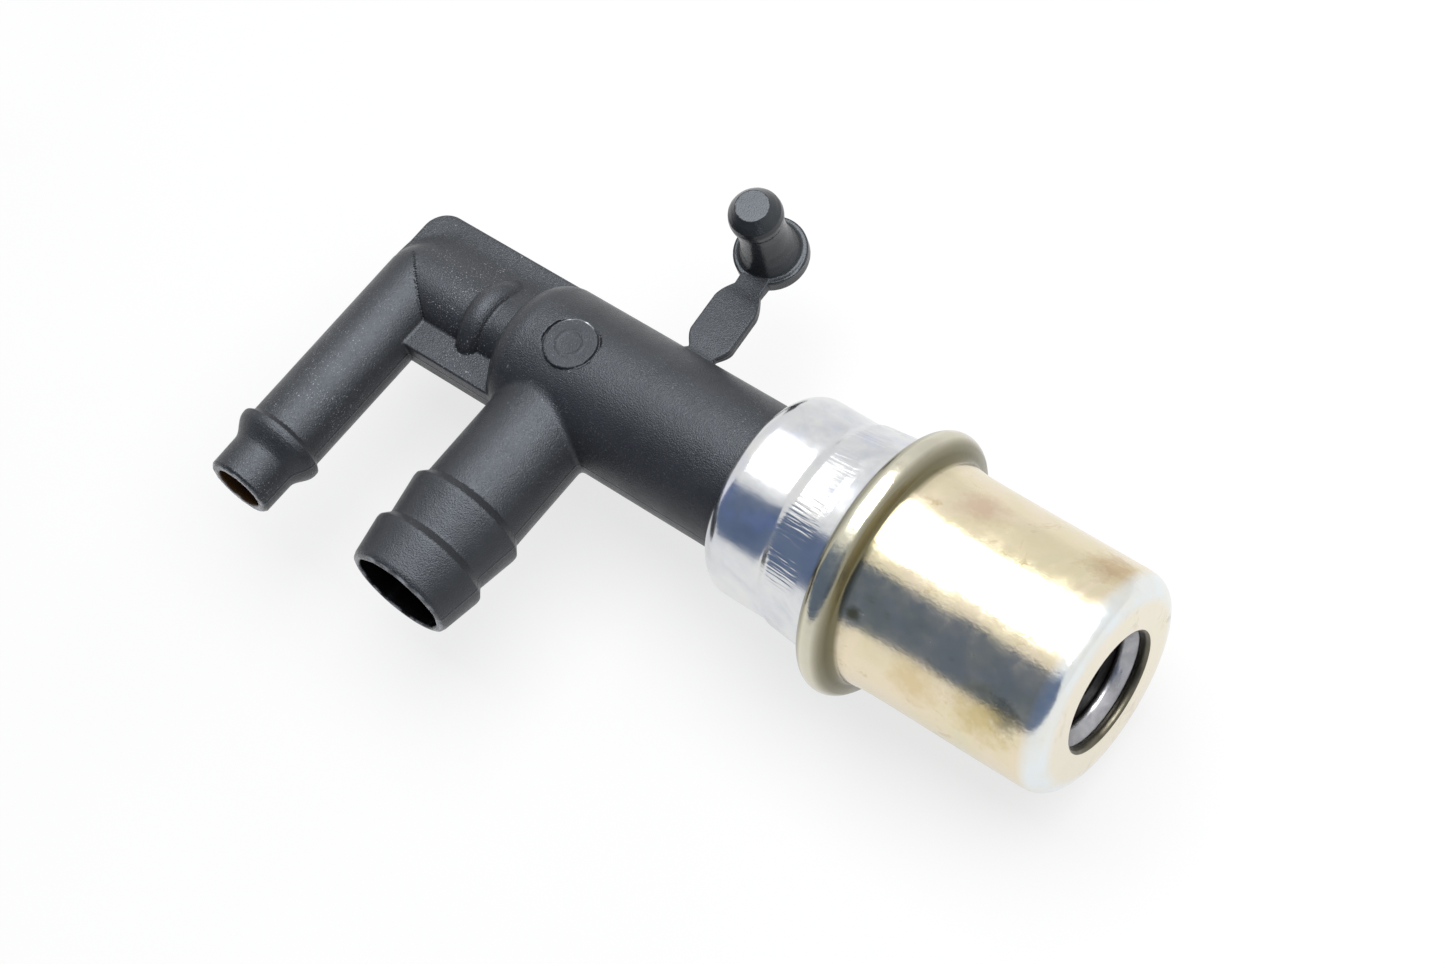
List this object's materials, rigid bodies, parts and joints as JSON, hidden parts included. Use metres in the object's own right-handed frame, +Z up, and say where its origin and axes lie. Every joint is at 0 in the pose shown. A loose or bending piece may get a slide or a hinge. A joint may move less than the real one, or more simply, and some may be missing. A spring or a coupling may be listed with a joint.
{
  "type": "crankcase ventilation valve",
  "caption": "Crankcase ventilation valve: moulded body with two hose nipples, tethered plug, crimp sleeve, flanged steel can, and sprung metering pintle inside.",
  "frame": {"origin": "on the main axis, at the front face of the can's flange, where the grommet mount starts", "axes": "+X along the valve towards the open inlet end; both nipples point to -Y; the plug stands up along +Z"},
  "size_m": [0.0785, 0.0482, 0.0244],
  "materials": {
    "moulded_nylon": "moulded, fine grain",
    "plug_nylon": "moulded, satin",
    "silver_zinc": "bright zinc plate",
    "yellow_zinc": "yellow passivated zinc plate",
    "gasket_rubber": "moulded",
    "bare_steel": "turned and drawn",
    "black_oxide": "turned, blackened"
  },
  "bodies": {
    "valve": {"valve_body": "moulded_nylon", "elbow_arm": "moulded_nylon", "large_nipple": "moulded_nylon", "small_nipple": "moulded_nylon", "crimp_sleeve": "silver_zinc", "inlet_can": "yellow_zinc", "body_gasket": "gasket_rubber", "metering_plate": "silver_zinc", "inlet_seat_ring": "silver_zinc", "return_spring": "bare_steel"},
    "pintle": {"metering_pintle": "black_oxide"},
    "strap": {"tether_strap": "moulded_nylon"},
    "plug": {"sealing_plug": "plug_nylon"}
  },
  "joints": [
    {"name": "pintle_slide", "type": "slide", "parent": "valve", "child": "pintle", "axis": [-1, 0, 0], "range_m": [0, 0.006], "stiffness_N_per_m": 60, "springref_m": -0.004, "deforming": ["return_spring"]},
    {"name": "strap_root", "type": "hinge", "parent": "valve", "child": "strap", "pos_m": [-0.0284, 0.00775, 0], "axis": [1, 0, 0], "range_deg": [-60, 50]},
    {"name": "plug_neck", "type": "hinge", "parent": "strap", "child": "plug", "pos_m": [-0.0292, 0.0152, -0.00039], "axis": [1, 0, 0], "range_deg": [-40, 35]}
  ]
}
